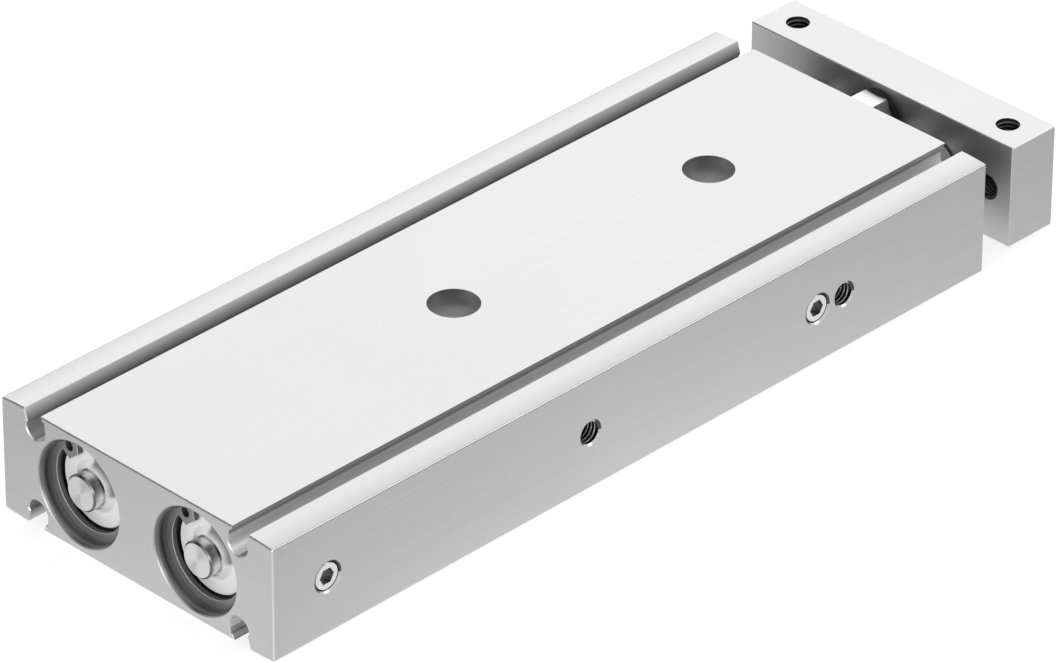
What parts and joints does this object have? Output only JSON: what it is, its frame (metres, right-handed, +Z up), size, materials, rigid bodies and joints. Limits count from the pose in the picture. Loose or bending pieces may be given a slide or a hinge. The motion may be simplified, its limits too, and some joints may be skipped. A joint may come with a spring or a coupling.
{
  "type": "double piston cylinder",
  "caption": "Flat pneumatic cylinder with twin parallel pistons, twin rods and one yoke plate, sensor slots, side ports and threads.",
  "frame": {"origin": "on the base face, midway between the two mounting holes", "axes": "+X along the stroke towards the yoke, +Z up, -Y the side with the plugged ports"},
  "size_m": [0.1701, 0.058, 0.02],
  "materials": {
    "anodised_body": "brushed clear-anodised extrusion",
    "anodised_yoke": "milled clear-anodised plate",
    "turned_cap": "bright turned aluminium",
    "seal_rubber": "black nitrile rubber",
    "bumper_rubber": "dark elastomer",
    "spring_steel": "phosphated spring steel",
    "guide_alloy": "turned aluminium",
    "bush_bronze": "sintered bronze",
    "piston_alloy": "turned aluminium",
    "magnet": "plastic-bonded magnet",
    "wear_plastic": "pale bearing plastic",
    "ground_rod": "ground and polished steel",
    "screw_steel": "plated steel screw",
    "nut_steel": "bright plated steel",
    "dark_washer": "blackened steel",
    "plug_steel": "bright plated steel"
  },
  "bodies": {
    "housing": {"cylinder_body": "anodised_body", "front_retaining_ring_left": "spring_steel", "front_retaining_ring_right": "spring_steel", "guide_bush_left": "bush_bronze", "guide_bush_right": "bush_bronze", "guide_seal_left": "seal_rubber", "guide_seal_right": "seal_rubber", "port_plug_front": "plug_steel", "port_plug_rear": "plug_steel", "rear_cap_left": "turned_cap", "rear_cap_right": "turned_cap", "rear_cap_seal_left": "seal_rubber", "rear_cap_seal_right": "seal_rubber", "rear_retaining_ring_left": "spring_steel", "rear_retaining_ring_right": "spring_steel", "rod_guide_left": "guide_alloy", "rod_guide_right": "guide_alloy", "rod_seal_left": "seal_rubber", "rod_seal_right": "seal_rubber"},
    "carriage": {"front_bumper_left": "bumper_rubber", "front_bumper_right": "bumper_rubber", "piston_left": "piston_alloy", "piston_magnet_left": "magnet", "piston_magnet_right": "magnet", "piston_right": "piston_alloy", "piston_rod_left": "ground_rod", "piston_rod_right": "ground_rod", "piston_screw_left": "screw_steel", "piston_screw_right": "screw_steel", "piston_seal_left": "seal_rubber", "piston_seal_right": "seal_rubber", "rear_bumper_left": "bumper_rubber", "rear_bumper_right": "bumper_rubber", "stop_nut": "nut_steel", "stop_screw": "screw_steel", "stop_washer": "dark_washer", "wear_ring_left": "wear_plastic", "wear_ring_right": "wear_plastic", "yoke_plate": "anodised_yoke", "yoke_screw_left": "screw_steel", "yoke_screw_right": "screw_steel"}
  },
  "joints": [
    {"name": "stroke", "type": "slide", "parent": "housing", "child": "carriage", "axis": [1, 0, 0], "range_m": [0, 0.08]}
  ]
}
